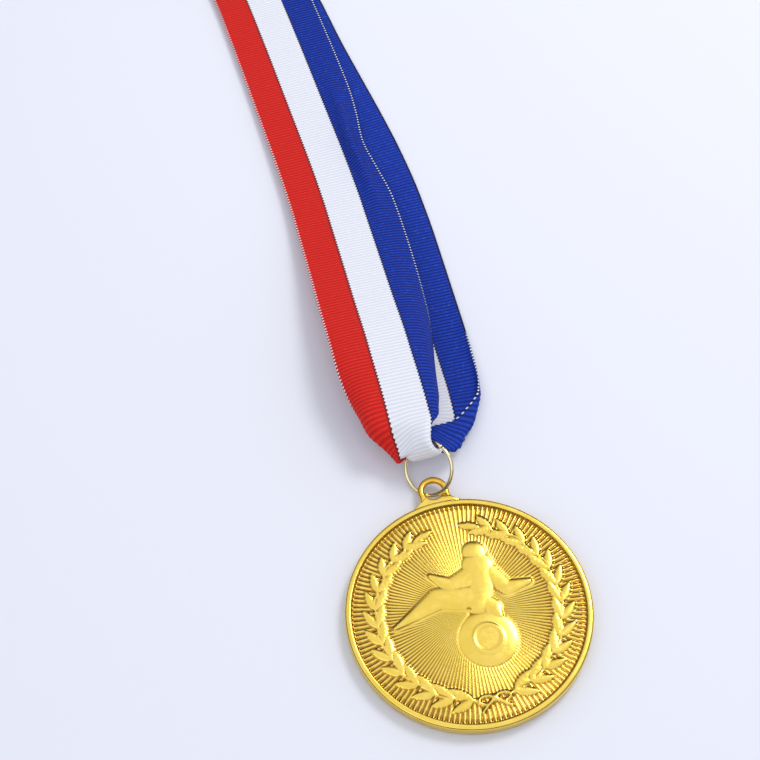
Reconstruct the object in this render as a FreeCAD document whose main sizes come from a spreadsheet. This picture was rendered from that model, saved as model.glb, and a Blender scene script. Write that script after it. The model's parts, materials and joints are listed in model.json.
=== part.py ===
import FreeCAD, Part

import math
import os

import Sketcher

# A sports medal on a neck ribbon, laid on a table.
#
# Frame: the origin is the centre of the medal's flat back face, +Z is up through
# its struck front, and +Y points from the medal's centre to its ear and on along
# the ribbon. Everything lies on the plane z = 0.
#
# medal       one cast disc with its rim and its ear
# jump_ring   a wire ring, cut once, through the ear and through the ribbon's bight
# neck_ribbon one strip: down through the ring, back up, and sewn end over end
# seam_thread the stitches of that lap seam

vector = FreeCAD.Vector
document = FreeCAD.newDocument("Medal")
sheet = document.addObject("Spreadsheet::Sheet", "dims")

DIMENSIONS = [
    # the cast medal
    ("medal_diameter", 51.0),
    ("medal_thickness", 3.0),
    ("medal_rim_width", 1.4),
    ("medal_field_depth", 0.8),
    ("medal_edge_round", 0.3),
    ("ear_hole_reach", 3.1),       # from the disc's edge to the hole's centre
    ("ear_hole_diameter", 4.0),
    ("ear_wall", 1.4),
    ("ear_thickness", 1.2),
    ("ear_underside", 1.35),       # height of the ear's lower face
    ("ear_round", 0.5),
    ("ear_shoulder_radius", 2.6),
    ("ear_root_width", 11.6),      # width of the ear's flare, inside the disc's edge
    ("ear_root_depth", 1.8),       # how far inside the edge the flare ends
    # the jump ring
    ("ring_wire", 0.9),
    ("ring_diameter", 11.5),       # of the wire's centre line
    ("ring_cut", 4.0),             # degrees left open at the cut
    ("ring_cut_place", 128.0),     # degrees round from the ear to the cut
    ("ring_table_gap", 0.09),      # under the wire's lowest point
    ("ring_ear_play", 0.276),      # room for the wire, slanted through the ear hole
    ("ring_seat_side", 0.05),      # the wire in the ear hole, from the hole's centre
    ("ring_seat_gap", 0.6),        # from the hole's inner wall to the wire
    ("ring_seat_rise", 0.13),      # the wire's centre above the ear's middle plane
    # the ribbon
    ("ribbon_width", 25.5),
    ("ribbon_thickness", 0.5),
    ("bight_width", 6.4),          # the ribbon where it is gathered in the ring
    ("bight_thickness", 1.5),
    ("bight_slack", 1.25),         # between the wire and the bight round it
    ("bight_leg", 3.0),            # straight part of the bight past the wire
    ("hump_rise", 4.06),           # highest point of the front strap over the ring's
    ("front_drift", -2.3),         # sideways place of the front strap by the ring
    ("back_drift", 4.6),           # and of the back strap
    ("fold_drift", -8.0),          # and of both in the folded end
    ("straps_length", 168.0),      # from the ring to the folded end
    ("fold_length", 74.0),         # of each run in the folded end
    ("layer_pitch", 1.1),          # height from one layer to the next
    # the sewn lap
    ("lap_length", 20.0),
    ("lap_inset", 26.0),           # from the folded end's near side to the lap's middle
    ("lap_gap", 0.05),
    ("stitch_length", 2.2),
    ("stitch_diameter", 0.3),
    ("stitch_pitch", 2.6),
    ("stitch_row_inset", 4.0),     # from each end of the lap to its row of stitches
]

for row, (name, value) in enumerate(DIMENSIONS, start=1):
    sheet.set("A%d" % row, name)
    sheet.set("B%d" % row, str(value))
    sheet.setAlias("B%d" % row, name)
document.recompute()

size = {name: float(sheet.get(name)) for name, value in DIMENSIONS}


def origin_plane(body, role):
    return next(feature for feature in body.Origin.OriginFeatures if feature.Role == role)


def new_body(label):
    body = document.addObject("PartDesign::Body", label)
    body.Label = label
    return body


def new_sketch(body, name, plane_role):
    sketch = body.newObject("Sketcher::SketchObject", name)
    sketch.AttachmentSupport = (origin_plane(body, plane_role), "")
    sketch.MapMode = "FlatFace"
    return sketch


def drive(sketch, kind, items, value, expression):
    """Add a dimension to a sketch and bind it to the sheet."""
    number = sketch.addConstraint(Sketcher.Constraint(kind, *items, value))
    sketch.setExpression("Constraints[%d]" % number, expression)


def edges_at_radius(shape, centre, radius, tolerance=0.02):
    """Names of the full circular edges with this radius about a vertical axis."""
    names = []
    for number, edge in enumerate(shape.Edges, start=1):
        curve = edge.Curve
        if not isinstance(curve, Part.Circle) or abs(curve.Radius - radius) > tolerance:
            continue
        away = math.hypot(curve.Center.x - centre.x, curve.Center.y - centre.y)
        if away < tolerance and edge.isClosed():
            names.append("Edge%d" % number)
    return names


# ---------------------------------------------------------------- medal

def make_medal():
    """A turned disc with a raised rim, and a flared ear with a rounded hole."""
    body = new_body("medal")
    radius = size["medal_diameter"] / 2
    top = size["medal_thickness"]
    field = top - size["medal_field_depth"]
    inner = radius - size["medal_rim_width"]

    profile = new_sketch(body, "disc_profile", "XZ_Plane")
    corners = [(0, 0), (radius, 0), (radius, top), (inner, top), (inner, field), (0, field)]
    for start, end in zip(corners, corners[1:] + corners[:1]):
        profile.addGeometry(Part.LineSegment(vector(*start, 0), vector(*end, 0)))
    for number in range(6):
        profile.addConstraint(Sketcher.Constraint("Coincident", number, 2, (number + 1) % 6, 1))
    for number in (0, 2, 4):
        profile.addConstraint(Sketcher.Constraint("Horizontal", number))
    for number in (1, 3, 5):
        profile.addConstraint(Sketcher.Constraint("Vertical", number))
    profile.addConstraint(Sketcher.Constraint("Coincident", 0, 1, -1, 1))
    drive(profile, "DistanceX", (0, 1, 0, 2), radius, "dims.medal_diameter / 2")
    drive(profile, "DistanceY", (1, 1, 1, 2), top, "dims.medal_thickness")
    drive(profile, "DistanceX", (2, 2, 2, 1), radius - inner, "dims.medal_rim_width")
    drive(profile, "DistanceY", (3, 2, 3, 1), top - field, "dims.medal_field_depth")
    disc = body.newObject("PartDesign::Revolution", "disc")
    disc.Profile = profile
    disc.ReferenceAxis = (profile, ["V_Axis"])
    disc.Angle = 360
    document.recompute()

    rounding = body.newObject("PartDesign::Fillet", "edge_rounding")
    rounding.Base = (disc, edges_at_radius(disc.Shape, vector(), radius))
    rounding.setExpression("Radius", "dims.medal_edge_round")
    document.recompute()

    loop_radius = size["ear_hole_diameter"] / 2 + size["ear_wall"]
    hole_reach = radius + size["ear_hole_reach"]
    root_half = size["ear_root_width"] / 2
    root_reach = radius - size["ear_root_depth"]
    shoulder = size["ear_shoulder_radius"]
    # where a shoulder's arc, through the root's corner, touches the loop from outside
    corner = vector(root_half, root_reach, 0)
    loop_centre = vector(0, hole_reach, 0)
    shoulder_centre = tangent_centre(loop_centre, loop_radius + shoulder, corner, shoulder)
    touch = loop_centre + (shoulder_centre - loop_centre).normalize() * loop_radius
    touch_angle = math.atan2(touch.y - hole_reach, touch.x)
    into_corner = corner - shoulder_centre
    corner_angle = math.atan2(into_corner.y, into_corner.x) % (2 * math.pi)
    touch_back = (touch_angle + math.pi) % (2 * math.pi)

    outline = new_sketch(body, "ear_outline", "XY_Plane")
    outline.setExpression("AttachmentOffset.Base.z", "dims.ear_underside")
    up = vector(0, 0, 1)
    mirrored_centre = vector(-shoulder_centre.x, shoulder_centre.y, 0)
    outline.addGeometry(Part.ArcOfCircle(
        Part.Circle(loop_centre, up, loop_radius), touch_angle, math.pi - touch_angle))
    outline.addGeometry(Part.ArcOfCircle(
        Part.Circle(shoulder_centre, up, shoulder), touch_back, corner_angle))
    outline.addGeometry(Part.ArcOfCircle(
        Part.Circle(mirrored_centre, up, shoulder),
        math.pi - corner_angle, math.pi - touch_back))
    outline.addGeometry(Part.LineSegment(vector(-root_half, root_reach, 0), corner))
    outline.addConstraint(Sketcher.Constraint("Tangent", 0, 1, 1, 1))
    outline.addConstraint(Sketcher.Constraint("Tangent", 0, 2, 2, 2))
    outline.addConstraint(Sketcher.Constraint("Coincident", 1, 2, 3, 2))
    outline.addConstraint(Sketcher.Constraint("Coincident", 2, 1, 3, 1))
    outline.addConstraint(Sketcher.Constraint("PointOnObject", 0, 3, -2))
    outline.addConstraint(Sketcher.Constraint("Symmetric", 3, 1, 3, 2, -2))
    outline.addConstraint(Sketcher.Constraint("Equal", 1, 2))
    drive(outline, "Radius", (0,), loop_radius, "dims.ear_hole_diameter / 2 + dims.ear_wall")
    drive(outline, "DistanceY", (-1, 1, 0, 3), hole_reach,
          "dims.medal_diameter / 2 + dims.ear_hole_reach")
    drive(outline, "DistanceX", (3, 1, 3, 2), 2 * root_half, "dims.ear_root_width")
    drive(outline, "DistanceY", (-1, 1, 3, 1), root_reach,
          "dims.medal_diameter / 2 - dims.ear_root_depth")
    drive(outline, "Radius", (1,), shoulder, "dims.ear_shoulder_radius")
    ear = body.newObject("PartDesign::Pad", "ear")
    ear.Profile = outline
    ear.setExpression("Length", "dims.ear_thickness")
    document.recompute()

    bore = new_sketch(body, "ear_hole_outline", "XY_Plane")
    bore.addGeometry(Part.Circle(loop_centre, up, size["ear_hole_diameter"] / 2))
    bore.addConstraint(Sketcher.Constraint("PointOnObject", 0, 3, -2))
    drive(bore, "Diameter", (0,), size["ear_hole_diameter"], "dims.ear_hole_diameter")
    drive(bore, "DistanceY", (-1, 1, 0, 3), hole_reach,
          "dims.medal_diameter / 2 + dims.ear_hole_reach")
    hole = body.newObject("PartDesign::Pocket", "ear_hole")
    hole.Profile = bore
    hole.Type = "ThroughAll"
    hole.Midplane = True
    document.recompute()
    if hole.Shape.Volume >= ear.Shape.Volume:
        raise RuntimeError("the ear hole removed nothing")

    softened = body.newObject("PartDesign::Fillet", "ear_rounding")
    softened.Base = (hole, edges_at_radius(hole.Shape, loop_centre, size["ear_hole_diameter"] / 2))
    softened.setExpression("Radius", "dims.ear_round")
    document.recompute()
    return body


def tangent_centre(first, first_distance, second, second_distance):
    """The point at the given distances from two points, on the outer (+X) side."""
    between = second - first
    apart = between.Length
    along = (first_distance ** 2 - second_distance ** 2 + apart ** 2) / (2 * apart)
    aside = math.sqrt(first_distance ** 2 - along ** 2)
    direction = between.normalize()
    sideways = vector(-direction.y, direction.x, 0)
    if sideways.x < 0:
        sideways = sideways * -1
    return first + direction * along + sideways * aside


# ---------------------------------------------------------------- jump ring

def ring_frame():
    """Where the ring lies: along its wire at the ear, up its length, its normal and seat.

    The wire slants through the ear hole as flat as the hole's edges let it, and the
    ring climbs towards the ribbon until its low side clears the table.
    """
    hole = size["ear_hole_diameter"]
    plate = size["ear_thickness"]
    wire = size["ring_wire"]
    radius = size["ring_diameter"] / 2
    slant = (math.asin((wire + size["ring_ear_play"]) / math.hypot(hole, plate))
             + math.atan2(plate, hole))
    seat = vector(
        size["ring_seat_side"],
        (size["medal_diameter"] + wire - hole) / 2
        + size["ear_hole_reach"] + size["ring_seat_gap"],
        size["ear_underside"] + plate / 2 + size["ring_seat_rise"],
    )
    side_rise = radius * math.sin(slant)
    seat_clear = seat.z - wire / 2 - size["ring_table_gap"]
    pitch = math.asin((side_rise ** 2 - seat_clear ** 2) / (2 * seat_clear * radius))
    roll = math.asin(math.sin(slant) / math.cos(pitch))
    length = vector(0, math.cos(pitch), math.sin(pitch))
    raised = vector(0, -math.sin(pitch), math.cos(pitch))
    along_wire = vector(1, 0, 0) * math.cos(roll) + raised * math.sin(roll)
    normal = along_wire.cross(length)
    return along_wire, length, normal, seat


def make_jump_ring():
    """A round wire turned about the ring's middle, with a narrow cut left open."""
    body = new_body("jump_ring")
    section = new_sketch(body, "wire_section", "XZ_Plane")
    radius = size["ring_diameter"] / 2
    section.addGeometry(Part.Circle(vector(radius, 0, 0), vector(0, 0, 1), size["ring_wire"] / 2))
    section.addConstraint(Sketcher.Constraint("PointOnObject", 0, 3, -1))
    drive(section, "Diameter", (0,), size["ring_wire"], "dims.ring_wire")
    drive(section, "DistanceX", (-1, 1, 0, 3), radius, "dims.ring_diameter / 2")
    wire = body.newObject("PartDesign::Revolution", "bent_wire")
    wire.Profile = section
    wire.ReferenceAxis = (section, ["V_Axis"])
    wire.setExpression("Angle", "360 - dims.ring_cut")
    document.recompute()

    along_wire, length, normal, seat = ring_frame()
    centre = seat + length * radius
    # the profile starts at the cut, which is turned round from the ear (-length)
    start = math.radians(size["ring_cut_place"] + size["ring_cut"] / 2 - 90)
    cut_side = along_wire * math.cos(start) + length * math.sin(start)
    third = normal.cross(cut_side)
    turn = FreeCAD.Matrix(
        cut_side.x, third.x, normal.x, centre.x,
        cut_side.y, third.y, normal.y, centre.y,
        cut_side.z, third.z, normal.z, centre.z,
        0, 0, 0, 1,
    )
    body.Placement = FreeCAD.Placement(turn)
    document.recompute()
    return body


# ---------------------------------------------------------------- ribbon

def turn_round(centre, out, up, radius, steps):
    """Points of a half turn from below a centre, round by its out side, to above it."""
    points = []
    for step in range(steps + 1):
        angle = math.pi * step / steps
        points.append(centre + out * (radius * math.sin(angle)) - up * (radius * math.cos(angle)))
    return points


def ribbon_stations():
    """The strip from its first end to its last: (centre, across, width, thickness)."""
    flat = vector(1, 0, 0)
    above = vector(0, 0, 1)
    ahead = vector(0, 1, 0)
    width = size["ribbon_width"]
    thin = size["ribbon_thickness"]
    bundle = size["bight_thickness"]
    narrow = size["bight_width"]
    along_wire, length, normal, seat = ring_frame()
    top_wire = seat + length * size["ring_diameter"]
    near = top_wire.y + size["straps_length"]
    far = near + size["fold_length"]
    drift = size["fold_drift"]
    pitch = size["layer_pitch"]
    height = [None] + [thin / 2 + pitch * layer for layer in range(6)]
    lap_middle = near + size["lap_inset"]
    lap_half = size["lap_length"] / 2
    lap_height = height[6] + thin + size["lap_gap"]
    inner_turn = pitch / 2
    outer_turn = pitch * 3 / 2
    turn_steps = 6

    def lying(y, z, x=drift, wide=width, thick=thin, across=flat):
        return (vector(x, y, z), across, wide, thick)

    def bend(y, low, high, out, radius):
        centre = vector(drift, y, (height[low] + height[high]) / 2)
        return [(point, flat, width, thin)
                for point in turn_round(centre, out, above, radius, turn_steps)]

    stations = [lying(lap_middle - lap_half, height[6])]
    # over the neck's turn, down to the fifth layer, back, and down to the fourth
    stations += list(reversed(bend(far, 5, 6, ahead, inner_turn)))
    stations += list(reversed(bend(near, 4, 5, ahead * -1, inner_turn)))
    # out along the fourth layer and round the outside to the first, on the table
    stations += list(reversed(bend(far, 1, 4, ahead, outer_turn)))
    # the back strap, along the table to the ring
    back_drift = size["back_drift"]
    floor = height[1]
    reach = near - top_wire.y
    narrowing = width * 0.62
    leaning = (flat + along_wire * 0.5).normalize()
    stations += [
        lying(near, floor),
        lying(top_wire.y + 0.72 * reach, floor, (drift + back_drift) / 2 - 1.0),
        lying(top_wire.y + 0.42 * reach, floor, back_drift + 0.6),
        lying(top_wire.y + 0.20 * reach, floor, back_drift),
        lying(top_wire.y + 0.13 * reach, floor + 0.2, back_drift, width * 0.94, thin * 1.2),
        lying(top_wire.y + 0.07 * reach, floor + narrowing / 2 * leaning.z + 0.5,
              back_drift * 0.85, narrowing, thin * 1.8, leaning),
    ]
    # the bight: gathered, under the wire, round inside the ring and over the wire
    round_wire = size["ring_wire"] / 2 + size["bight_slack"] + bundle / 2
    leg = length * size["bight_leg"]
    stations.append((top_wire + leg - normal * round_wire, along_wire, narrow, bundle))
    stations += [(point, along_wire, narrow, bundle)
                 for point in turn_round(top_wire, length * -1, normal, round_wire, turn_steps)]
    stations.append((top_wire + leg + normal * round_wire, along_wire, narrow, bundle))
    # the front strap, over its hump and down on to the back strap
    front_drift = size["front_drift"]
    resting = height[2]
    hump = top_wire.z + size["hump_rise"]
    stations += [
        lying(top_wire.y + 0.07 * reach, hump, front_drift * 1.4, width * 0.58, thin * 2.0,
              leaning),
        lying(top_wire.y + 0.14 * reach, hump * 0.95, front_drift, width * 0.88, thin * 1.2),
        lying(top_wire.y + 0.21 * reach, hump * 0.78, front_drift),
        lying(top_wire.y + 0.32 * reach, hump * 0.42, front_drift),
        lying(top_wire.y + 0.42 * reach, resting + 0.6, front_drift),
        lying(top_wire.y + 0.52 * reach, resting, front_drift - 1.4),
        lying(top_wire.y + 0.72 * reach, resting, (drift + front_drift) / 2 - 0.5),
        lying(near, resting),
    ]
    # round the inside to the third layer, back, and round the outside to the sixth
    stations += bend(far, 2, 3, ahead, inner_turn)
    stations += bend(near, 3, 6, ahead * -1, outer_turn)
    # over the first end, where the two are sewn together
    stations += [
        lying(lap_middle - lap_half - 4 * thin - 1, height[6]),
        lying(lap_middle - lap_half - 1, lap_height),
        lying(lap_middle + lap_half, lap_height),
    ]
    return stations


def make_ribbon():
    """One strip through every station, each a rectangle square to the strip's run."""
    stations = ribbon_stations()
    wires = []
    for number, (centre, across, width, thickness) in enumerate(stations):
        before = stations[max(number - 1, 0)][0]
        after = stations[min(number + 1, len(stations) - 1)][0]
        run = (after - centre).normalize() if number == 0 else (centre - before).normalize()
        if 0 < number < len(stations) - 1:
            run = (run + (after - centre).normalize()).normalize()
        side = (across - run * across.dot(run)).normalize()
        face = run.cross(side)
        half = side * (width / 2)
        rise = face * (thickness / 2)
        corners = [centre - half - rise, centre + half - rise,
                   centre + half + rise, centre - half + rise]
        wires.append(Part.makePolygon(corners + corners[:1]))
    ribbon = document.addObject("Part::Feature", "neck_ribbon")
    ribbon.Label = "neck_ribbon"
    ribbon.Shape = Part.makeLoft(wires, True, True)
    ribbon.Placement = FreeCAD.Placement()
    centres = [station[0] for station in stations]
    length = sum((b - a).Length for a, b in zip(centres, centres[1:]))
    print("ribbon length along its middle %.1f mm" % length)
    return ribbon


# ---------------------------------------------------------------- seam thread

def make_seam_thread():
    """Two rows of stitches across the lap, lying on the upper of its two layers."""
    count = int(size["ribbon_width"] // size["stitch_pitch"])
    along_wire, length, normal, seat = ring_frame()
    top_wire = seat + length * size["ring_diameter"]
    middle = top_wire.y + size["straps_length"] + size["lap_inset"]
    row_reach = size["lap_length"] / 2 - size["stitch_row_inset"]
    surface = 5 * size["layer_pitch"] + 2 * size["ribbon_thickness"] + size["lap_gap"]
    stitches = []
    for row, side in enumerate((-1, 1)):
        for number in range(count):
            stitch = document.addObject("Part::Box", "stitch_%d_%02d" % (row, number))
            stitch.setExpression("Length", "dims.stitch_diameter")
            stitch.setExpression("Width", "dims.stitch_length")
            stitch.setExpression("Height", "dims.stitch_diameter / 2")
            across = size["fold_drift"] + (number - (count - 1) / 2) * size["stitch_pitch"]
            stitch.Placement.Base = vector(
                across - size["stitch_diameter"] / 2,
                middle + side * row_reach - size["stitch_length"] / 2,
                surface,
            )
            stitches.append(stitch)
    thread = document.addObject("Part::Compound", "seam_thread")
    thread.Label = "seam_thread"
    thread.Links = stitches
    document.recompute()
    return thread


# ---------------------------------------------------------------- build, check and write

nodes = [make_medal(), make_jump_ring(), make_ribbon(), make_seam_thread()]
document.recompute()

for item in document.Objects:
    if "Invalid" in item.State or "Error" in item.State:
        raise RuntimeError("%s failed: %s" % (item.Label, item.State))
for node in nodes:
    if node.Shape.isNull() or not node.Shape.isValid():
        raise RuntimeError("%s has no valid shape" % node.Label)

os.makedirs("parts", exist_ok=True)
for node in nodes:
    node.Shape.exportStep("parts/%s.step" % node.Label)
    box = node.Shape.BoundBox
    print("%-12s %2d solids %9.2f mm3  x %.2f..%.2f  y %.2f..%.2f  z %.2f..%.2f" % (
        node.Label, len(node.Shape.Solids), node.Shape.Volume,
        box.XMin, box.XMax, box.YMin, box.YMax, box.ZMin, box.ZMax))
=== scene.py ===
import json
import math

import bpy
import numpy as np
from mathutils import Matrix, Vector


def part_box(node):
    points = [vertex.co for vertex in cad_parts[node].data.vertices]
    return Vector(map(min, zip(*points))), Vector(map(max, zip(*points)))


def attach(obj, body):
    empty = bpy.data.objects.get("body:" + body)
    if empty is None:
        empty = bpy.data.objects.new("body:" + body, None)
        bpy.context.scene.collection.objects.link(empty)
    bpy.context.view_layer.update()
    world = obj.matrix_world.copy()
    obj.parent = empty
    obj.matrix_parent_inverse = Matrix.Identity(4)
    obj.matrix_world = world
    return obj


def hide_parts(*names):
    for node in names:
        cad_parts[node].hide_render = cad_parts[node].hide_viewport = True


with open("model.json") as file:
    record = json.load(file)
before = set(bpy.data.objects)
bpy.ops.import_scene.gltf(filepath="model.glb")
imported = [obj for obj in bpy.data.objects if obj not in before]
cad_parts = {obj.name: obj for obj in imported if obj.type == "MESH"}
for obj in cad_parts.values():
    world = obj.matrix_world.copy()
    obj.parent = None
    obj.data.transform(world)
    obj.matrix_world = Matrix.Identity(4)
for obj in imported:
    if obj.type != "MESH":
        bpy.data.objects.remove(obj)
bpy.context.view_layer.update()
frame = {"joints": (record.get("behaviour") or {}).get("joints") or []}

# A gold sports medal on a red, white and blue neck ribbon, in the CAD part's frame.
# Points are worked out in millimetres and scaled to metres by MM.

MM = 0.001
joints = {joint["name"]: joint for joint in frame["joints"]}
medal_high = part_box("medal")[1]

# the jump ring: the top of its wire's centre line, and the directions it lies in
ring_top = np.array(joints["ring_swing"]["pos_m"]) / MM
ear_seat = np.array(joints["medal_swing"]["pos_m"]) / MM
along_wire = -np.array(joints["ring_swing"]["axis"])
along_wire /= np.linalg.norm(along_wire)
ring_up = ring_top - ear_seat
ring_up /= np.linalg.norm(ring_up)
ring_normal = np.cross(along_wire, ring_up)
RING_RADIUS = 5.75
WIRE_RADIUS = 0.45


def smooth(low, high, value):
    """0 below low, 1 above high, and an even step between them."""
    share = np.clip((value - low) / (high - low), 0, 1)
    return share * share * (3 - 2 * share)


def make_object(name, vertices, faces, material, body):
    """A smooth mesh object from points in millimetres, riding on a body."""
    mesh = bpy.data.meshes.new(name)
    mesh.from_pydata((np.asarray(vertices) * MM).tolist(), [], faces)
    mesh.validate()
    mesh.polygons.foreach_set("use_smooth", [True] * len(mesh.polygons))
    mesh.materials.append(material)
    piece = bpy.data.objects.new(name, mesh)
    bpy.context.scene.collection.objects.link(piece)
    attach(piece, body)
    return piece


def grid_faces(rows, columns, wrap_rows=False, wrap_columns=False, first=0, flip=False):
    """Quads over a grid of points numbered row by row from first."""
    row = np.arange(rows if wrap_rows else rows - 1)
    column = np.arange(columns if wrap_columns else columns - 1)
    row, column = (side.ravel() for side in np.meshgrid(row, column, indexing="ij"))
    next_row = (row + 1) % rows
    next_column = (column + 1) % columns
    quads = np.stack([row * columns + column, row * columns + next_column,
                      next_row * columns + next_column, next_row * columns + column], axis=1)
    if flip:
        quads = quads[:, ::-1]
    return (quads + first).tolist()


def add_attribute(piece, name, values):
    layer = piece.data.attributes.new(name, "FLOAT", "POINT")
    layer.data.foreach_set("value", np.asarray(values, np.float32).ravel())


# ---------------------------------------------------------------- materials

class Nodes:
    """A material's node tree, built a node at a time."""

    def __init__(self, name, **settings):
        self.material = bpy.data.materials.new(name)
        self.material.use_nodes = True
        self.tree = self.material.node_tree
        self.shader = self.tree.nodes["Principled BSDF"]
        for socket, value in settings.items():
            self.shader.inputs[socket.replace("_", " ")].default_value = value

    def link(self, source, target):
        self.tree.links.new(source, target)

    def set(self, node, number, value):
        """Feed an input with a number, a colour or another node's output."""
        if isinstance(value, bpy.types.NodeSocket):
            self.link(value, node.inputs[number])
        else:
            node.inputs[number].default_value = value

    def math(self, operation, *values):
        node = self.tree.nodes.new("ShaderNodeMath")
        node.operation = operation
        for number, value in enumerate(values):
            self.set(node, number, value)
        return node.outputs[0]

    def attribute(self, name):
        node = self.tree.nodes.new("ShaderNodeAttribute")
        node.attribute_name = name
        return node.outputs["Fac"]

    def coordinates(self):
        return self.tree.nodes.new("ShaderNodeTexCoord").outputs["Object"]

    def noise(self, scale, detail):
        node = self.tree.nodes.new("ShaderNodeTexNoise")
        self.link(self.coordinates(), node.inputs["Vector"])
        node.inputs["Scale"].default_value = scale
        node.inputs["Detail"].default_value = detail
        return node.outputs["Fac"]

    def spread(self, value, low, high, new_low, new_high, even=True):
        node = self.tree.nodes.new("ShaderNodeMapRange")
        node.interpolation_type = "SMOOTHSTEP" if even else "LINEAR"
        for number, item in enumerate((value, low, high, new_low, new_high)):
            self.set(node, number, item)
        return node.outputs[0]

    def mix(self, share, first, second):
        node = self.tree.nodes.new("ShaderNodeMix")
        node.data_type = "RGBA"
        self.set(node, 0, share)
        self.set(node, 6, first)
        self.set(node, 7, second)
        return node.outputs[2]

    def bump(self, height, distance, strength=1.0, below=None):
        node = self.tree.nodes.new("ShaderNodeBump")
        node.inputs["Distance"].default_value = distance
        node.inputs["Strength"].default_value = strength
        self.link(height, node.inputs["Height"])
        if below is not None:
            self.link(below, node.inputs["Normal"])
        return node.outputs[0]


def cast_gold():
    """Bright gold plate over a casting, with brown painted shade in the relief's hollows."""
    nodes = Nodes("cast_gold", Metallic=1.0)
    painted_shade = nodes.spread(nodes.attribute("hollow_shade"), 0.12, 0.9, 0.0, 0.9)
    worn = nodes.noise(260, 3)
    plate = nodes.mix(nodes.spread(worn, 0.35, 0.7, 0.0, 1.0),
                      (0.85, 0.60, 0.095, 1), (0.89, 0.65, 0.125, 1))
    warm = nodes.mix(nodes.attribute("ear"), plate, (0.84, 0.50, 0.07, 1))
    # painted shade: the relief's hollows are mixed towards brown
    colour = nodes.mix(painted_shade, warm, (0.36, 0.15, 0.022, 1))
    nodes.link(colour, nodes.shader.inputs["Base Color"])
    nodes.link(nodes.spread(nodes.noise(900, 4), 0.3, 0.75, 0.17, 0.27),
               nodes.shader.inputs["Roughness"])
    grain = nodes.bump(nodes.noise(2600, 3), 0.00001, 0.3)
    dents = nodes.bump(nodes.noise(300, 2), 0.00004, 0.3, grain)
    nodes.link(dents, nodes.shader.inputs["Normal"])
    return nodes.material


def wire_gold():
    """Pale, bright plated wire with faint drawing marks."""
    nodes = Nodes("wire_gold", Metallic=1.0)
    tint = nodes.mix(nodes.spread(nodes.noise(500, 2), 0.3, 0.7, 0.0, 1.0),
                     (0.86, 0.70, 0.36, 1), (0.93, 0.82, 0.53, 1))
    nodes.link(tint, nodes.shader.inputs["Base Color"])
    nodes.link(nodes.spread(nodes.noise(1500, 3), 0.3, 0.7, 0.10, 0.22),
               nodes.shader.inputs["Roughness"])
    nodes.link(nodes.bump(nodes.noise(3000, 3), 0.00001, 0.4), nodes.shader.inputs["Normal"])
    return nodes.material


# shares of the ribbon's width at which its stripes meet, from the red selvage
RED_SHARE = 0.325
BLUE_SHARE = 0.685


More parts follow.
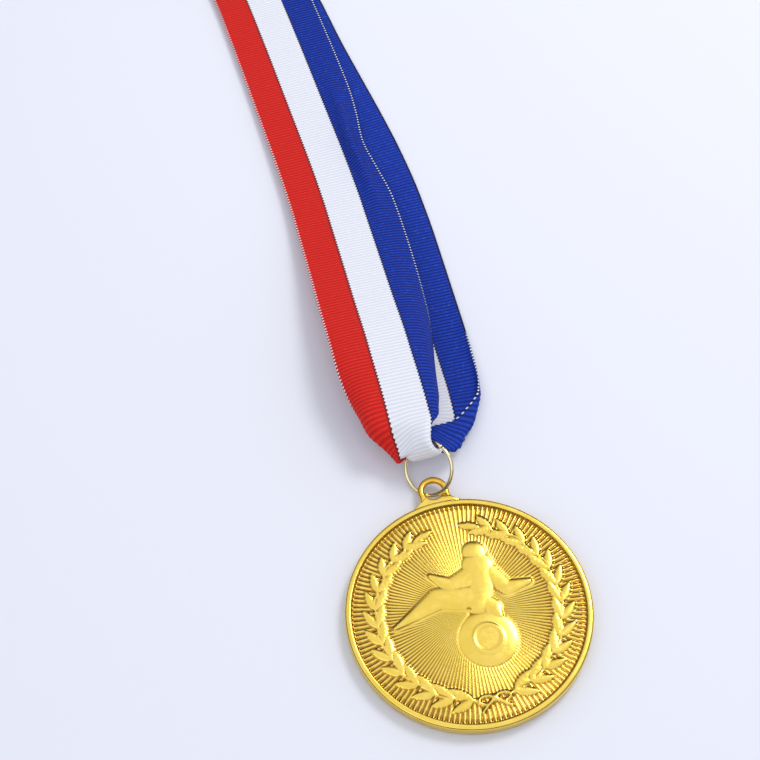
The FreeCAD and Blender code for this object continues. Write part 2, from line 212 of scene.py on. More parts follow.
def woven_ribbon():
    """Ribbed grosgrain: three stripes, dark looped joins and white picots, with painted shade in the
    rib valleys and painted highlights on the crests.
    """
    nodes = Nodes("ribbon_weave", Roughness=0.7, Specular_IOR_Level=0.2,
                  Sheen_Weight=0.03, Sheen_Roughness=0.4)
    across = nodes.attribute("across")
    along = nodes.attribute("ribs")
    turn = nodes.math("MULTIPLY", along, 2 * math.pi)
    wave = nodes.math("SINE", turn)
    crest = nodes.spread(wave, -1.0, 1.0, 0.0, 1.0, even=False)
    # the stripes meet in a line that loops round each rib
    looped = nodes.math("ADD", across, nodes.math("MULTIPLY", wave, 0.006))

    def stripe(red, white, blue):
        left = nodes.mix(nodes.spread(looped, RED_SHARE - 0.002, RED_SHARE + 0.002, 0.0, 1.0),
                         red, white)
        return nodes.mix(nodes.spread(looped, BLUE_SHARE - 0.002, BLUE_SHARE + 0.002, 0.0, 1.0),
                         left, blue)

    # painted light and shade: each stripe has a darker copy for the rib valleys and a lighter copy
    # for the crests
    shaded_valleys = stripe((0.50, 0.008, 0.006, 1), (0.70, 0.72, 0.79, 1), (0.002, 0.010, 0.16, 1))
    lit_crests = stripe((0.78, 0.022, 0.012, 1), (0.87, 0.88, 0.91, 1), (0.006, 0.050, 0.46, 1))
    cloth = nodes.mix(crest, shaded_valleys, lit_crests)
    uneven = nodes.spread(nodes.noise(700, 3), 0.3, 0.7, 0.0, 0.16)
    cloth = nodes.mix(uneven, cloth, shaded_valleys)
    # painted highlights: bright flecks where the yarn shines on the crests
    painted_glint = nodes.spread(nodes.noise(1300, 2), 0.56, 0.72, 0.0, 0.5)
    bright = stripe((0.88, 0.05, 0.03, 1), (0.92, 0.93, 0.95, 1), (0.03, 0.14, 0.68, 1))
    cloth = nodes.mix(nodes.math("MULTIPLY", painted_glint, crest), cloth, bright)

    def near(place, half_width):
        away = nodes.math("ABSOLUTE", nodes.math("SUBTRACT", looped, place))
        return nodes.spread(away, half_width * 0.55, half_width, 1.0, 0.0)

    cloth = nodes.mix(near(RED_SHARE, 0.011), cloth, (0.16, 0.012, 0.012, 1))
    cloth = nodes.mix(near(BLUE_SHARE, 0.011), cloth, (0.006, 0.010, 0.080, 1))
    # white picots: loops on the red selvage, short dashes on the blue one
    shown = nodes.spread(wave, -0.1, 0.25, 0.0, 1.0)
    red_edge = nodes.spread(across, 0.012, 0.022, 1.0, 0.0)
    cloth = nodes.mix(nodes.math("MULTIPLY", red_edge, shown), cloth, (0.86, 0.80, 0.80, 1))
    blue_edge = nodes.spread(across, 0.978, 0.988, 0.0, 1.0)
    cloth = nodes.mix(blue_edge, cloth, (0.006, 0.010, 0.060, 1))
    dash = nodes.spread(wave, 0.1, 0.45, 0.0, 1.0)
    outer = nodes.spread(across, 0.984, 0.990, 0.0, 1.0)
    dash = nodes.math("MULTIPLY", dash, nodes.attribute("picot"))
    cloth = nodes.mix(nodes.math("MULTIPLY", outer, dash), cloth, (0.82, 0.88, 1.0, 1))
    nodes.link(cloth, nodes.shader.inputs["Base Color"])
    fibres = nodes.math("SINE", nodes.math("MULTIPLY", across, 2 * math.pi * 62))
    ribs = nodes.bump(crest, 0.00010, 0.55)
    yarn = nodes.bump(nodes.math("MULTIPLY", fibres, crest), 0.00003, 0.35, ribs)
    fuzz = nodes.bump(nodes.noise(4200, 3), 0.00003, 0.35, yarn)
    nodes.link(fuzz, nodes.shader.inputs["Normal"])
    return nodes.material


def white_thread():
    """Twisted sewing thread."""
    nodes = Nodes("white_thread", Roughness=0.55)
    turn = nodes.math("SINE", nodes.math("MULTIPLY", nodes.attribute("twist"), 2 * math.pi))
    # painted shade: the white thread is greyer in the grooves of its twist
    colour = nodes.mix(nodes.spread(turn, -1.0, 1.0, 0.0, 1.0),
                       (0.62, 0.64, 0.70, 1), (0.87, 0.88, 0.90, 1))
    nodes.link(colour, nodes.shader.inputs["Base Color"])
    nodes.link(nodes.bump(turn, 0.00003, 0.7), nodes.shader.inputs["Normal"])
    return nodes.material


# ---------------------------------------------------------------- the medal's relief

DISC_RADIUS = medal_high.x / MM
TOP = medal_high.z / MM
FIELD_DROP = 0.8
RIM_WIDTH = 1.4
FIELD = TOP - FIELD_DROP
FIELD_RADIUS = DISC_RADIUS - RIM_WIDTH
RAYS = 144
POINTS_PER_RAY = 6
WREATH_RADIUS = 19.2
BALL = np.array([2.2, -6.9])


def segment_distance(x, y, start, end):
    """Distance from each point to a segment, and how far along it the nearest place is."""
    (ax, ay), (bx, by) = start, end
    length = math.hypot(bx - ax, by - ay)
    share = np.clip(((x - ax) * (bx - ax) + (y - ay) * (by - ay)) / length ** 2, 0, 1)
    return np.hypot(x - ax - share * (bx - ax), y - ay - share * (by - ay)), share


def limb(x, y, points, widths, height):
    """A rounded limb along a run of points: (its height, how far outside it is)."""
    raised = np.zeros_like(x)
    outside = np.full_like(x, 99.0)
    for number in range(len(points) - 1):
        away, share = segment_distance(x, y, points[number], points[number + 1])
        half = widths[number] + (widths[number + 1] - widths[number]) * share
        part = np.clip(away / half, 0, 1)
        raised = np.maximum(raised, height * (1 - part ** 2) ** 0.6 * (away < half))
        outside = np.minimum(outside, away - half)
    return raised, outside


def figure(x, y):
    """A plain athlete reaching over a ball: smooth rounded limbs and a head."""
    limbs = [
        ([(4.4, 9.2), (4.2, 5.0), (2.2, 1.0)], [3.3, 2.7, 2.6], 0.40),       # body
        ([(5.4, 8.0), (9.0, 3.0), (13.8, 3.2)], [2.3, 1.7, 0.7], 0.30),      # right arm
        ([(3.4, 7.2), (-2.0, 6.0), (-5.8, 9.2)], [2.8, 1.9, 0.6], 0.30),     # left arm
        ([(1.8, 2.4), (-5.6, 4.0), (-15.6, -0.2)], [2.8, 2.4, 0.5], 0.36),   # raised leg
        ([(2.6, 1.6), (5.2, -0.6), (5.8, -2.6)], [2.5, 1.8, 0.9], 0.32),     # standing leg
        ([(4.2, 12.6), (4.6, 12.4)], [2.2, 2.4], 0.38),                      # head
    ]
    raised = np.zeros_like(x)
    outside = np.full_like(x, 99.0)
    for points, widths, height in limbs:
        part, away = limb(x, y, points, widths, height)
        raised = np.maximum(raised, part)
        outside = np.minimum(outside, away)
    return raised, outside


def ball(x, y):
    """A domed ball with one raised ring on it."""
    away = np.hypot(x - BALL[0], y - BALL[1])
    radius = 6.0
    dome = 0.36 * (1 - np.clip(away / radius, 0, 1) ** 4) ** 0.8
    ring = 0.15 * np.exp(-((away - 3.0) / 0.36) ** 2)
    return dome + ring, away - radius


def leaf(x, y, base, heading, length, width):
    """A pointed leaf with a vein: (its height, how far outside it is)."""
    along = (x - base[0]) * math.cos(heading) + (y - base[1]) * math.sin(heading)
    aside = (y - base[1]) * math.cos(heading) - (x - base[0]) * math.sin(heading)
    share = np.clip(along / length, 0, 1)
    half = width / 2 * (4 * share * (1 - share)) ** 0.75 * (1.15 - 0.3 * share)
    inside = (np.abs(aside) < half) & (along > 0) & (along < length)
    part = np.clip(np.abs(aside) / np.maximum(half, 1e-6), 0, 1)
    raised = (0.13 + 0.20 * (1 - part)) * inside
    raised -= 0.09 * np.exp(-(aside / 0.11) ** 2) * inside * smooth(0.05, 0.2, share)
    beyond = np.maximum(np.maximum(-along, along - length), 0)
    outside = np.hypot(np.maximum(np.abs(aside) - half, 0), beyond)
    return raised, np.where(inside, -1.0, outside)


def wreath(x, y):
    """Two laurel branches that rise from a bow at the foot to an open top."""
    raised = np.zeros_like(x)
    outside = np.full_like(x, 99.0)

    def add(part, away):
        nonlocal raised, outside
        raised = np.maximum(raised, part)
        outside = np.minimum(outside, away)

    pairs = 13
    start, end = math.radians(9), math.radians(158)
    angle_here = np.arctan2(x, -y)                  # from the foot, + towards +X
    away_here = np.hypot(x, y)
    for side in (-1, 1):
        swept = side * angle_here
        stem = np.abs(away_here - WREATH_RADIUS - 0.25 * np.sin(swept * 14))
        on_stem = smooth(start - 0.02, start, swept) * (1 - smooth(end - 0.05, end, swept))
        add(0.30 * np.exp(-(stem / 0.26) ** 2) * on_stem, np.where(on_stem > 0.5, stem, 99.0))
        for number in range(pairs):
            swept_to = start + (end - start) * (number + 0.3) / pairs
            foot = np.array([side * math.sin(swept_to), -math.cos(swept_to)]) * WREATH_RADIUS
            run = math.atan2(math.sin(swept_to), side * math.cos(swept_to))
            reach = 5.7 - 0.05 * number
            for lean, size in ((25, 1.0), (-28, 0.9)):
                heading = run + side * math.radians(lean)
                add(*leaf(x, y, foot, heading, reach * size, 2.0 * size))
        foot = np.array([side * math.sin(end), -math.cos(end)]) * WREATH_RADIUS
        run = math.atan2(math.sin(end), side * math.cos(end))
        add(*leaf(x, y, foot, run + side * 0.05, 4.6, 1.7))
        # one loop and one tail of the bow
        loop = np.hypot((x - side * 1.75) / 1.55, (y + WREATH_RADIUS + 0.1) / 0.85)
        add(0.36 * np.exp(-((loop - 1) / 0.22) ** 2), np.abs(loop - 1) - 0.3)
        add(*limb(x, y, [(side * 0.5, -WREATH_RADIUS - 0.3), (side * 3.0, -WREATH_RADIUS - 2.3)],
                  [0.38, 0.30], 0.34))
    knot = np.hypot(x, y + WREATH_RADIUS)
    add(0.42 * np.sqrt(np.clip(1 - (knot / 0.75) ** 2, 0, 1)), knot - 0.75)
    return raised, outside


def relief(x, y):
    """Height of the medal's front at each point of the field."""
    away = np.hypot(x, y)
    turn = np.arctan2(y, x)
    ray = np.abs(((turn * RAYS / (2 * math.pi)) % 1) - 0.5) * 2       # 0 in a groove's middle
    figure_height, figure_gap = figure(x, y)
    ball_height, ball_gap = ball(x, y)
    leaves_height, leaves_gap = wreath(x, y)
    emblem_gap = np.minimum(figure_gap, ball_gap)
    # the rays fade out in front of the emblem and towards the middle
    depth = 0.0085 * away * smooth(0.0, 0.8, emblem_gap)
    depth = depth * smooth(0.0, 0.25, leaves_gap)
    ground = FIELD + 0.14 - depth * (0.5 + 0.5 * np.cos(math.pi * ray))
    ground -= 0.05 * np.exp(-(np.clip(leaves_gap, 0, 9) / 0.16) ** 2)
    ground -= 0.03 * np.exp(-(np.clip(emblem_gap, 0, 9) / 0.22) ** 2)
    # a notch at the foot of the rim, deepest at the end of each groove
    foot = np.exp(-((away - FIELD_RADIUS + 0.35) / 0.3) ** 2)
    ground -= foot * (0.03 + 0.10 * (1 - ray))
    emblem = np.maximum(figure_height, ball_height)
    raised = np.maximum(emblem * (emblem_gap < 0), leaves_height)
    return ground + np.minimum(raised, FIELD_DROP - 0.2)


def blurred(height, times):
    for repeat in range(times):
        padded = np.concatenate([height[:1], height, height[-1:]], axis=0)
        height = (padded[:-2] + padded[2:] + np.roll(height, 1, 1) + np.roll(height, -1, 1)) / 4
    return height


def make_medal():
    """The struck disc as one closed skin, and its ear."""
    turns = RAYS * POINTS_PER_RAY
    rings = np.concatenate([
        np.linspace(0.3, 3.0, 7)[:-1],
        np.linspace(3.0, 22.6, 70),
        np.linspace(22.85, FIELD_RADIUS - 0.02, 6),
    ])
    angle = np.arange(turns) * 2 * math.pi / turns
    away, turn = np.meshgrid(rings, angle, indexing="ij")
    x = away * np.cos(turn)
    y = away * np.sin(turn)
    height = relief(x, y)
    # painted shade: how far each point lies below its blurred surroundings
    hollow_shade = np.clip((blurred(height, 8) - height) / 0.07, 0, 1)
    # painted shade: the grooves' ends are darkened beside the rim's step
    groove = np.abs(((turn * RAYS / (2 * math.pi)) % 1) - 0.5) * 2
    hollow_shade[-5:] = np.maximum(hollow_shade[-5:], 1.3 * (1 - groove[-5:]))
    # the rim: a step up, a crowned face, the rounded edge, the side and the flat back
    rim_profile = [
        (FIELD_RADIUS + 0.04, TOP - 0.42), (FIELD_RADIUS + 0.10, TOP - 0.16),
        (FIELD_RADIUS + 0.22, TOP - 0.03), (FIELD_RADIUS + 0.45, TOP),
        (DISC_RADIUS - 0.62, TOP), (DISC_RADIUS - 0.30, TOP - 0.05),
        (DISC_RADIUS - 0.10, TOP - 0.18), (DISC_RADIUS - 0.01, TOP - 0.42),
        (DISC_RADIUS, TOP - 0.8), (DISC_RADIUS, 0.8), (DISC_RADIUS - 0.02, 0.35),
        (DISC_RADIUS - 0.12, 0.10), (DISC_RADIUS - 0.32, 0.0), (DISC_RADIUS - 1.2, 0.0),
        (DISC_RADIUS - 1.35, 0.03), (DISC_RADIUS - 8, 0.03), (DISC_RADIUS - 17, 0.03), (0.4, 0.03),
    ]
    points = [np.stack([x, y, height], axis=2)]
    for radius, level in rim_profile:
        loop = np.stack([radius * np.cos(angle), radius * np.sin(angle),
                         np.full(turns, level)], axis=1)
        points.append(loop[None])
    points = np.concatenate(points, axis=0)
    painted_shade = np.concatenate([hollow_shade, np.zeros((len(rim_profile), turns))], axis=0)
    # painted shade along the foot of the rim's step
    painted_shade[len(rings) - 1] = 0.35
    rows = len(points)
    vertices = points.reshape(-1, 3)
    faces = grid_faces(rows, turns, wrap_columns=True, flip=True)
    middle = len(vertices)
    vertices = np.concatenate([vertices, [[0, 0, height[0].mean()], [0, 0, 0.03]]])
    last = (rows - 1) * turns
    for number in range(turns):
        following = (number + 1) % turns
        faces.append((middle, number, following))
        faces.append((middle + 1, last + following, last + number))
    ear_points, ear_faces = ear_skin(len(vertices))
    count = len(vertices)
    vertices = np.concatenate([vertices, ear_points])
    medal = make_object("medal_relief", vertices, faces + ear_faces, cast_gold(),
                        "medal")
    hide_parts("medal")
    add_attribute(medal, "hollow_shade", np.concatenate([painted_shade.ravel(), [0, 0], np.zeros(len(ear_points))]))
    ear_share = smooth(DISC_RADIUS + 0.4, DISC_RADIUS + 3.2, vertices[:, 1])
    ear_share[:count] = 0.0
    add_attribute(medal, "ear", ear_share)
    return medal


EAR_HOLE = 2.0
EAR_WALL = 1.4
EAR_SHOULDER = 2.6
EAR_Z = (1.35, 2.55)
EAR_CENTRE_Y = medal_high.y / MM - EAR_HOLE - EAR_WALL


def arc(centre, radius, start, end, count):
    turn = np.linspace(start, end, count)
    return np.stack([centre[0] + radius * np.cos(turn), centre[1] + radius * np.sin(turn)], axis=1)


def ear_outline(count):
    """Points round the ear: its loop, a hollow shoulder on each side and its hidden root."""
    loop = EAR_HOLE + EAR_WALL
    to_disc = DISC_RADIUS + EAR_SHOULDER
    shoulder_y = (to_disc ** 2 - (loop + EAR_SHOULDER) ** 2 + EAR_CENTRE_Y ** 2) / (2 * EAR_CENTRE_Y)
    shoulder_x = math.sqrt(to_disc ** 2 - shoulder_y ** 2)
    joint = math.atan2(shoulder_y - EAR_CENTRE_Y, shoulder_x)
    root = math.atan2(shoulder_y, shoulder_x)
    over = arc((0, EAR_CENTRE_Y), loop, joint, math.pi - joint, 80)
    left = arc((-shoulder_x, shoulder_y), EAR_SHOULDER, -joint, -root, 24)
    below = arc((0, 0), DISC_RADIUS - 0.9, math.pi - root, root, 24)
    right = left[::-1] * (-1, 1)
    points = np.concatenate([over, left, below, right])
    steps = np.linalg.norm(np.diff(points, axis=0, append=points[:1]), axis=1)
    length = np.concatenate([[0], np.cumsum(steps)])
    closed = np.concatenate([points, points[:1]])
    places = np.linspace(0, length[-1], count, endpoint=False)
    return np.stack([np.interp(places, length, closed[:, axis]) for axis in (0, 1)], axis=1)


def ear_skin(first):
    """The ear as a closed ring of skin round its hole: (points, faces)."""
    turns = 144
    low, high = EAR_Z
    middle = (low + high) / 2
    half = (high - low) / 2
    # one section from the hole's wall, over the top, to the outer edge and back below:
    # what each point is measured from, how far outward of it, and its share of half the plate
    section = [("hole", 0.0, 0.0), ("hole", 0.05, 0.55), ("hole", 0.22, 0.86),
               ("hole", 0.55, 1.0), ("middle", 0.0, 1.0), ("edge", -0.45, 0.96),
               ("edge", -0.14, 0.72), ("edge", 0.0, 0.0), ("edge", -0.14, -0.72),
               ("edge", -0.45, -0.96), ("middle", 0.0, -1.0), ("hole", 0.55, -1.0),
               ("hole", 0.22, -0.86), ("hole", 0.05, -0.55)]
    points = []
    centre = np.array([0.0, EAR_CENTRE_Y])
    for outer in ear_outline(turns):
        span = np.linalg.norm(outer - centre)
        outward = (outer - centre) / span
        measured_from = {"hole": EAR_HOLE, "middle": (EAR_HOLE + span) / 2, "edge": span}
        for base, step, level in section:
            place = centre + outward * (measured_from[base] + step)
            points.append((place[0], place[1], middle + half * level))
    return np.array(points), grid_faces(turns, len(section), True, True, first)


# ---------------------------------------------------------------- the jump ring

def make_jump_ring():
    """A bright wire ring with its two cut ends nearly touching."""
    steps, sides = 180, 20
    cut_place, cut = math.radians(128), math.radians(4)
    centre = ring_top - ring_up * RING_RADIUS
    start = cut_place + cut / 2 - math.pi / 2
    vertices = []
    for number in range(steps + 1):
        turn = start + (2 * math.pi - cut) * number / steps
        out = along_wire * math.cos(turn) + ring_up * math.sin(turn)
        # the wire's ends are slightly domed where the cutter left them
        end = min(number, steps - number)
        radius = WIRE_RADIUS * (0.80 if end == 0 else 0.95 if end == 1 else 1.0)
        for side in range(sides):
            around = 2 * math.pi * side / sides
            vertices.append(centre + out * (RING_RADIUS + radius * math.cos(around))
                            + ring_normal * (radius * math.sin(around)))
    faces = grid_faces(steps + 1, sides, wrap_columns=True)
    faces.append(tuple(range(sides)))
    faces.append(tuple(reversed(range(steps * sides, (steps + 1) * sides))))
    ring = make_object("wire_ring", vertices, faces, wire_gold(), "ring")
    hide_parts("jump_ring")
    return ring


# ---------------------------------------------------------------- the ribbon

RIBBON_WIDTH = 25.5
CLOTH = 0.34                  # thickness between the ribs
RIB_PITCH = 0.87
RIB_HEIGHT = 0.055
LAYER_PITCH = 1.1
FLOOR_LAYER = 0.27            # height of the lowest layer's middle
STACK_X = -8.0
STRAPS = 168.0
FOLD = 74.0
LAP_MIDDLE = 26.0
LAP_HALF = 10.0
STACK_NEAR = ring_top[1] + STRAPS
STACK_FAR = STACK_NEAR + FOLD
BIGHT_RADIUS = 3.3

# how a side of the ribbon is turned in: the flat part from its middle, the bend's length
# and its degrees, and the length rolled up from the selvage
PLAIN = (9.0, 3.7, 0.0, 0.0)
GATHERED = (2.8, 2.2, 180.0, 7.7)
SCROLL_RADIUS = 0.6

# what each column of a station holds; its first three are its place
RED_SIDE = slice(3, 7)
BLUE_SIDE = slice(7, 11)
RIPPLE, WIRE, RED_DROOP, BLUE_DROOP = 11, 12, 13, 14


def layer(number):
    """Height of one layer of the folded end, from 1 on the table to 6."""
    return FLOOR_LAYER + LAYER_PITCH * (number - 1)


def hairpin(y, low, high, out, x):
    """Half a turn from a low layer to a high one; out is +1 at the far end."""
    radius = (layer(high) - layer(low)) / 2
    middle = (layer(high) + layer(low)) / 2
    stations = []
    for step in range(7):
        turn = math.pi * step / 6
        bulge = 1.0 + 0.12 * math.sin(turn)
        stations.append(station(x, y + out * radius * math.sin(turn) * bulge,
                                middle - radius * math.cos(turn)))
    return stations


def station(x, y, z, red=PLAIN, blue=PLAIN, ripple=0.0, wire=0.0, red_droop=0.0, blue_droop=0.0):
    """One place on the ribbon: its middle, how its sides turn in and how far they hang."""
    red, blue = ([*side, 0.0][:4] for side in (red, blue))
    return [x, y, z, *red, *blue, ripple, wire, red_droop, blue_droop]


def back_strap():
    """From the folded end along the table to the ring; the blue side folds over."""
    # distance from the ring, side, height, red side, blue side
    places = [
        (146, -3.7, 0.27, PLAIN, PLAIN),
        (128, -1.5, 0.28, PLAIN, PLAIN),
        (112, 0.9, 0.28, PLAIN, PLAIN),
        (98, 3.0, 0.28, PLAIN, PLAIN),
        (86, 4.5, 0.28, PLAIN, PLAIN),
        (73, 5.5, 0.28, PLAIN, PLAIN),
        (60, 5.8, 0.28, PLAIN, PLAIN),
        (46, 5.7, 0.30, PLAIN, (9.0, 3.7, 4.0)),
        (34, 5.6, 0.32, PLAIN, (9.5, 3.2, 14.0)),
        (25, 5.5, 0.36, PLAIN, (10.2, 2.5, 40.0)),
        (18, 5.5, 0.50, (8.0, 4.7, 12.0), (10.9, 1.8, 95.0)),
        (13, 5.3, 0.90, (7.0, 5.7, 40.0), (10.6, 1.9, 150.0)),
        (9, 4.9, 1.75, (6.4, 6.2, 90.0), (8.5, 2.0, 174.0), 0.15),
        (5.8, 4.1, 2.6, (5.6, 7.0, 200.0), (6.0, 2.0, 178.0), 0.45),
        (3.2, 3.3, 3.5, (4.0, 2.4, 180.0, 5.5), (4.4, 2.0, 178.0), 0.9),
    ]
    stations = []
    for away, x, z, red, blue, *droop in places:
        stations.append(station(x, ring_top[1] + away, z, red, blue,
                                wire=max(0.0, 1 - away / 8.0),
                                blue_droop=droop[0] if droop else 0.0))
    return stations


def bight():
    """Gathered round the wire: under it, round inside the ring and over it."""
    # the blue flap rolls up on its way in; the red side unrolls on its way out
    blue_sides = {0: ((3.3, 2.2, 180.0, 0.0), 1.0), 1: ((3.2, 2.2, 180.0, 2.0), 0.75),
                  2: ((3.1, 2.2, 180.0, 4.5), 0.45), 3: ((3.0, 2.2, 180.0, 6.5), 0.2)}
    red_sides = {14: ((3.3, 2.3, 180.0, 6.6), 0.25), 15: ((3.8, 2.6, 180.0, 5.2), 0.38),
                 16: ((4.4, 3.0, 180.0, 3.6), 0.5)}
    stations = []
    for step in range(17):
        turn = math.pi * step / 16
        place = (ring_top - ring_up * (BIGHT_RADIUS * math.sin(turn))
                 - ring_normal * (BIGHT_RADIUS * math.cos(turn)))
        red, red_droop = red_sides.get(step, (GATHERED, 0.0))
        blue, blue_droop = blue_sides.get(step, (GATHERED, 0.0))
        stations.append(station(*place, red, blue, 0.0, 1.0, red_droop, blue_droop))
    return stations


def front_strap():
    """Over its hump and down on to the back strap; its sides droop by the ring."""
    places = [
        (2.6, -1.7, 10.05, (5.3, 5.2, 190.0, 1.2), (3.2, 3.0, 180.0, 6.0), 0, 0.36),
        (6.0, -1.65, 10.6, (6.2, 6.5, 138.0), (4.2, 8.5, 215.0), 0, 0.15),
        (10.0, -1.6, 10.95, (6.6, 6.1, 98.0), (4.5, 8.2, 160.0), 0, 0),
        (15.0, -1.6, 11.1, (6.8, 5.9, 62.0), (4.6, 8.1, 130.0), 0, 0),
        (21.0, -1.6, 10.8, (7.0, 5.7, 32.0), (4.6, 8.1, 100.0), 0, 0),
        (28.5, -1.5, 9.9, (7.0, 5.7, 14.0), (4.6, 8.1, 72.0), 0, 0),
        (38.0, -1.5, 8.1, (7.0, 5.7, 6.0), (4.6, 8.1, 46.0), 0, 0),
        (50.0, -1.4, 5.9, PLAIN, (4.8, 7.9, 26.0), 0, 0),
        (61.0, -1.35, 4.1, PLAIN, (5.0, 7.7, 12.0), 0, 0),
        (71.0, -1.35, 2.9, PLAIN, (5.2, 7.5, 4.0), 24.0, 0),
        (81.0, -1.6, 2.3, PLAIN, (5.2, 7.5, 0.0), 72.0, 0),
        (91.0, -2.1, 2.0, PLAIN, (5.2, 7.5, 0.0), 98.0, 0),
        (102.0, -2.8, 1.7, PLAIN, PLAIN, 60.0, 0),
        (114.0, -3.6, 1.5, PLAIN, PLAIN, 16.0, 0),
        (130.0, -4.7, 1.42, PLAIN, PLAIN, 0, 0),
        (148.0, -6.1, 1.38, PLAIN, PLAIN, 0, 0),
    ]
    return [station(x, ring_top[1] + away, z, red, blue, ripple, max(0.0, 1 - away / 6.0), droop)
            for away, x, z, red, blue, ripple, droop in places]


def ribbon_route():
    """Every station of the strip, from its hidden end to the end sewn over it."""
    lap_start = STACK_NEAR + LAP_MIDDLE - LAP_HALF
    lap_end = STACK_NEAR + LAP_MIDDLE + LAP_HALF
    lap_height = layer(6) + CLOTH + 4 * RIB_HEIGHT
    near, far = STACK_NEAR, STACK_FAR
    drift = {6: -8.1, 5: -7.7, 4: -8.4, 3: -7.8, 2: -7.9, 1: -8.2}

    def run(number, y, lift=0.0):
        return station(drift[number], y, layer(number) + lift)

    route = [run(6, lap_start), run(6, lap_end), run(6, far - 18, 0.08)]
    route += list(reversed(hairpin(far, 5, 6, 1, -7.9)))
    route += [run(5, far - 20, -0.05), run(5, near + 22)]
    route += list(reversed(hairpin(near, 4, 5, -1, -8.0)))
    route += [run(4, near + 24), run(4, far - 22, 0.04)]
    route += list(reversed(hairpin(far, 1, 4, 1, -8.3)))
    route += [run(1, far - 24), run(1, near + 14), station(-6.6, near - 6, FLOOR_LAYER)]
    route += back_strap() + bight() + front_strap()
    route += [station(-7.6, near - 3, layer(2)), run(2, near + 20), run(2, far - 20)]
    route += hairpin(far, 2, 3, 1, -7.9)
    route += [run(3, far - 22), run(3, near + 20)]
    route += hairpin(near, 3, 6, -1, -7.8)
    route += [run(6, lap_start - 6), run(6, lap_start - 2.2, 0.12),
              station(-7.9, lap_start + 1.2, lap_height), station(-7.8, lap_end, lap_height)]
    return np.array(route, float)


def eased(knots, values, places):
    """A smooth curve through the values that never overshoots them."""
    gaps = np.diff(knots)[:, None]
    slopes = np.diff(values, axis=0) / gaps
    tangents = np.zeros_like(values)
    before, after = slopes[:-1], slopes[1:]
    same = before * after > 0
    weight_before = 2 * gaps[1:] + gaps[:-1]
    weight_after = gaps[1:] + 2 * gaps[:-1]
    with np.errstate(divide="ignore", invalid="ignore"):
        mean = (weight_before + weight_after) / (weight_before / before + weight_after / after)
    tangents[1:-1] = np.where(same, mean, 0)
    tangents[0], tangents[-1] = slopes[0], slopes[-1]
    part = np.clip(np.searchsorted(knots, places, side="right") - 1, 0, len(knots) - 2)
    gap = gaps[part]
    share = ((places - knots[part])[:, None]) / gap
    return (values[part] * (1 + 2 * share) * (1 - share) ** 2
            + tangents[part] * gap * share * (1 - share) ** 2
            + values[part + 1] * share ** 2 * (3 - 2 * share)
            + tangents[part + 1] * gap * share ** 2 * (share - 1))


def side_angles(distance, flat, bend, turn, scroll):
    """How far the strip has turned at each distance from its middle, in radians."""
    share = np.clip((distance - flat) / bend, 0, 1)
    rolled = np.clip(distance - (RIBBON_WIDTH / 2 - scroll), 0, None)
    return (np.radians(turn) * share * (0.74 + 0.26 * share)
            + rolled / SCROLL_RADIUS * (1 + 0.04 * rolled))


def ribbon_grid():
    """The strip's middle surface, its rib numbers and its shares across."""
    route = ribbon_route()
    chords = np.linalg.norm(np.diff(route[:, :3], axis=0), axis=1)
    knots = np.concatenate([[0], np.cumsum(chords)])
    fine = np.linspace(0, knots[-1], 6000)
    line = eased(knots, route[:, :3], fine)
    length = np.concatenate([[0], np.cumsum(np.linalg.norm(np.diff(line, axis=0), axis=1))])

    # two rows a rib along the straps, and wider rows in the folded end but for its turns
    at = [0.0]
    while at[-1] < length[-1]:
        x, y, z = (np.interp(at[-1], length, line[:, axis]) for axis in range(3))
        strap = y < STACK_NEAR - 6
        turning = y < STACK_NEAR + 0.8 or y > STACK_FAR - 0.8
        step = RIB_PITCH / 2 if strap else 0.45 if turning else 3 * RIB_PITCH
        at.append(at[-1] + step)
    at[-1] = float(length[-1])
    at = np.array(at)
    places = np.interp(at, length, fine)
    rows = eased(knots, route, places)
    centre = rows[:, :3]
    run = np.gradient(centre, axis=0)
    run /= np.linalg.norm(run, axis=1)[:, None]
    wire = smooth(0, 1, rows[:, WIRE])[:, None]
    across = np.array([1.0, 0, 0]) * (1 - wire) + along_wire * wire
    across -= run * (across * run).sum(axis=1)[:, None]
    across /= np.linalg.norm(across, axis=1)[:, None]
    inward = np.cross(run, across)

    columns = 36
    even = np.linspace(-1, 1, columns)
    reach = RIBBON_WIDTH / 2 * (even * 1.18 - 0.18 * even ** 3)
    reach *= RIBBON_WIDTH / 2 / reach[-1]
    half_count = 170
    fine_reach = np.linspace(-RIBBON_WIDTH / 2, RIBBON_WIDTH / 2, 2 * half_count + 1)
    step = fine_reach[1] - fine_reach[0]
    grid = np.zeros((len(rows), columns, 3))
    for number, values in enumerate(rows):
        angle = np.where(fine_reach > 0, side_angles(fine_reach, *values[BLUE_SIDE]),
                         side_angles(-fine_reach, *values[RED_SIDE]))
        # a long wrinkle in the blue stripe: up to a ridge and down to the selvage
        wrinkle = (fine_reach - 8.3) / 1.9
        angle = angle + np.radians(values[RIPPLE]) * 1.65 * wrinkle * np.exp(-wrinkle ** 2)
        sign = np.where(fine_reach > 0, 1.0, -1.0)
        over = np.cumsum(np.cos(angle)) * step
        down = np.cumsum(np.sin(angle) * sign) * step
        over -= over[half_count]
        down -= down[half_count]
        over = np.interp(reach, fine_reach, over)
        down = np.interp(reach, fine_reach, down)
        droop = (values[RED_DROOP] * np.clip(-over, 0, None)
                 + values[BLUE_DROOP] * np.clip(over, 0, None))
        grid[number] = (centre[number] + across[number] * over[:, None]
                        + inward[number] * down[:, None] - ring_up * droop[:, None])
    return grid, at / RIB_PITCH, (reach / RIBBON_WIDTH + 0.5)


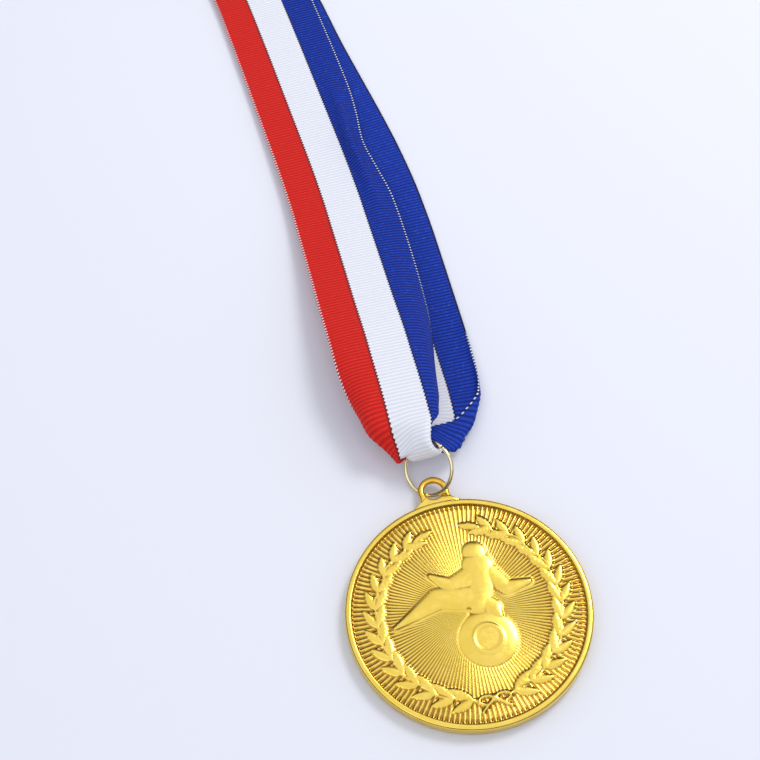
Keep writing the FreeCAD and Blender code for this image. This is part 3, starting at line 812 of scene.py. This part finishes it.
def make_ribbon():
    """The ribbed strip as a thin closed shell."""
    grid, ribs, share = ribbon_grid()
    rows, columns = grid.shape[:2]
    along = np.gradient(grid, axis=0)
    aside = np.gradient(grid, axis=1)
    normal = np.cross(along, aside)
    normal /= np.maximum(np.linalg.norm(normal, axis=2), 1e-9)[:, :, None]
    ribbed = (np.arange(rows) % 2) * 2.0 - 1
    spacing = np.gradient(ribs)
    ribbed = ribbed * (spacing < 0.6)
    half = CLOTH / 2 + RIB_HEIGHT * ribbed[:, None, None]
    # the selvages are a little thinner
    half = half * (0.55 + 0.45 * smooth(0, 0.03, np.minimum(share, 1 - share)))[None, :, None]
    upper = grid + normal * half
    lower = grid - normal * half
    vertices = np.concatenate([upper.reshape(-1, 3), lower.reshape(-1, 3)])
    second = rows * columns
    faces = grid_faces(rows, columns, flip=True) + grid_faces(rows, columns, first=second)
    for number in range(rows - 1):
        here, following = number * columns, (number + 1) * columns
        faces.append((here, here + second, following + second, following))
        edge = columns - 1
        faces.append((here + edge, following + edge, following + second + edge,
                      here + second + edge))
    for number in range(columns - 1):
        faces.append((number, number + 1, number + 1 + second, number + second))
        end = (rows - 1) * columns + number
        faces.append((end, end + second, end + 1 + second, end + 1))
    ribbon = make_object("striped_ribbon", vertices, faces, woven_ribbon(),
                         "ribbon")
    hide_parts("neck_ribbon")
    # the crests of the material's ribs lie on the raised rows
    flat = np.ones((rows, columns))
    add_attribute(ribbon, "ribs", np.tile((ribs[:, None] * flat - 0.25).ravel(), 2))
    add_attribute(ribbon, "across", np.tile((share[None, :] * flat).ravel(), 2))
    # the selvage's white loops do not show along the back strap's far part
    far_back = (grid[:, :, 2] < 0.9) & (grid[:, :, 1] > ring_top[1] + 16)
    add_attribute(ribbon, "picot", np.tile(np.where(far_back, 0.0, 1.0).ravel(), 2))
    return ribbon


# ---------------------------------------------------------------- the seam's stitches

def make_stitches():
    """Two rows of thread stitches across the lap, each dipping into the cloth."""
    surface = layer(6) + CLOTH + 4 * RIB_HEIGHT + CLOTH / 2
    count, pitch, length, radius = 9, 2.6, 2.2, 0.13
    steps, sides = 12, 8
    vertices, faces, twist = [], [], []
    for side in (-1, 1):
        row_y = STACK_NEAR + LAP_MIDDLE + side * (LAP_HALF - 4.0)
        for number in range(count):
            x = STACK_X + (number - (count - 1) / 2) * pitch
            first = len(vertices)
            for step in range(steps + 1):
                share = step / steps
                y = row_y + (share - 0.5) * length
                lift = 0.10 * math.sin(math.pi * share) ** 0.5 - 0.06
                for around in range(sides):
                    turn = 2 * math.pi * around / sides
                    vertices.append((x + radius * math.cos(turn), y,
                                     surface + lift + radius * math.sin(turn)))
                    twist.append(share * 5 + around / sides)
            faces += grid_faces(steps + 1, sides, wrap_columns=True, first=first, flip=True)
            faces.append(tuple(first + around for around in range(sides)))
            last = first + steps * sides
            faces.append(tuple(last + around for around in reversed(range(sides))))
    stitches = make_object("lap_stitches", vertices, faces, white_thread(), "ribbon")
    add_attribute(stitches, "twist", twist)
    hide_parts("seam_thread")
    return stitches


# ---------------------------------------------------------------- the studio

# how bright the world is to everything but a reflection
WORLD_LIGHT = 0.83


def make_floor():
    """A wide, plain, pale table top."""
    nodes = Nodes("pale_floor", Roughness=0.75, Base_Color=(0.80, 0.81, 0.87, 1),
                  Specular_IOR_Level=0.2)
    bpy.ops.mesh.primitive_plane_add(size=6, location=(0, 0, -0.00005))
    floor = bpy.context.object
    floor.name = "floor"
    floor.data.materials.append(nodes.material)


def make_lamp(name, place, aim, size, power):
    light = bpy.data.lights.new(name, "AREA")
    light.shape = "DISK"
    light.size = size
    light.energy = power
    lamp = bpy.data.objects.new(name, light)
    lamp.location = place
    lamp.rotation_mode = "QUATERNION"
    lamp.rotation_quaternion = (Vector(aim) - Vector(place)).to_track_quat("-Z", "Y")
    bpy.context.scene.collection.objects.link(lamp)


def make_world():
    """Even pale light all round; reflections see it darken towards the horizon."""
    world = bpy.data.worlds.new("studio")
    bpy.context.scene.world = world
    world.use_nodes = True
    tree = world.node_tree
    back = tree.nodes["Background"]
    back.inputs["Color"].default_value = (0.90, 0.92, 1.0, 1)
    height = tree.nodes.new("ShaderNodeSeparateXYZ")
    tree.links.new(tree.nodes.new("ShaderNodeTexCoord").outputs["Generated"], height.inputs[0])
    shine = tree.nodes.new("ShaderNodeMapRange")
    for name, value in (("From Min", 0.42), ("From Max", 0.80), ("To Min", 0.10), ("To Max", 1.12)):
        shine.inputs[name].default_value = value
    tree.links.new(height.outputs["Z"], shine.inputs[0])
    rays = tree.nodes.new("ShaderNodeLightPath")
    choose = tree.nodes.new("ShaderNodeMix")
    choose.inputs[2].default_value = WORLD_LIGHT
    tree.links.new(rays.outputs["Is Glossy Ray"], choose.inputs[0])
    tree.links.new(shine.outputs[0], choose.inputs[3])
    tree.links.new(choose.outputs[0], back.inputs["Strength"])


def make_camera():
    """The camera, fitted to the photo at a chosen field of view."""
    camera = bpy.data.objects.new("camera", bpy.data.cameras.new("camera"))
    place = Vector((-37.7, -110.1, 274.0)) * MM
    aim = Vector((-4.2, 60.4, 0.0)) * MM
    roll = math.radians(-3.0)
    camera.rotation_mode = "QUATERNION"
    camera.rotation_quaternion = (aim - place).to_track_quat("-Z", "Y") @ Matrix.Rotation(
        roll, 3, "Z").to_quaternion()
    camera.location = place
    camera.data.angle = math.radians(30)
    camera.data.clip_start = 0.01
    camera.data.clip_end = 20
    bpy.context.scene.collection.objects.link(camera)
    bpy.context.scene.camera = camera


bpy.context.scene.view_settings.view_transform = "Standard"
make_camera()
make_world()
make_lamp("key", (0.42, 0.30, 0.62), (0, 0.08, 0), 0.30, 2.2)
make_lamp("fill", (-0.5, -0.35, 0.7), (0, 0.08, 0), 0.7, 0.5)
make_floor()
make_medal()
make_jump_ring()
make_stitches()
make_ribbon()
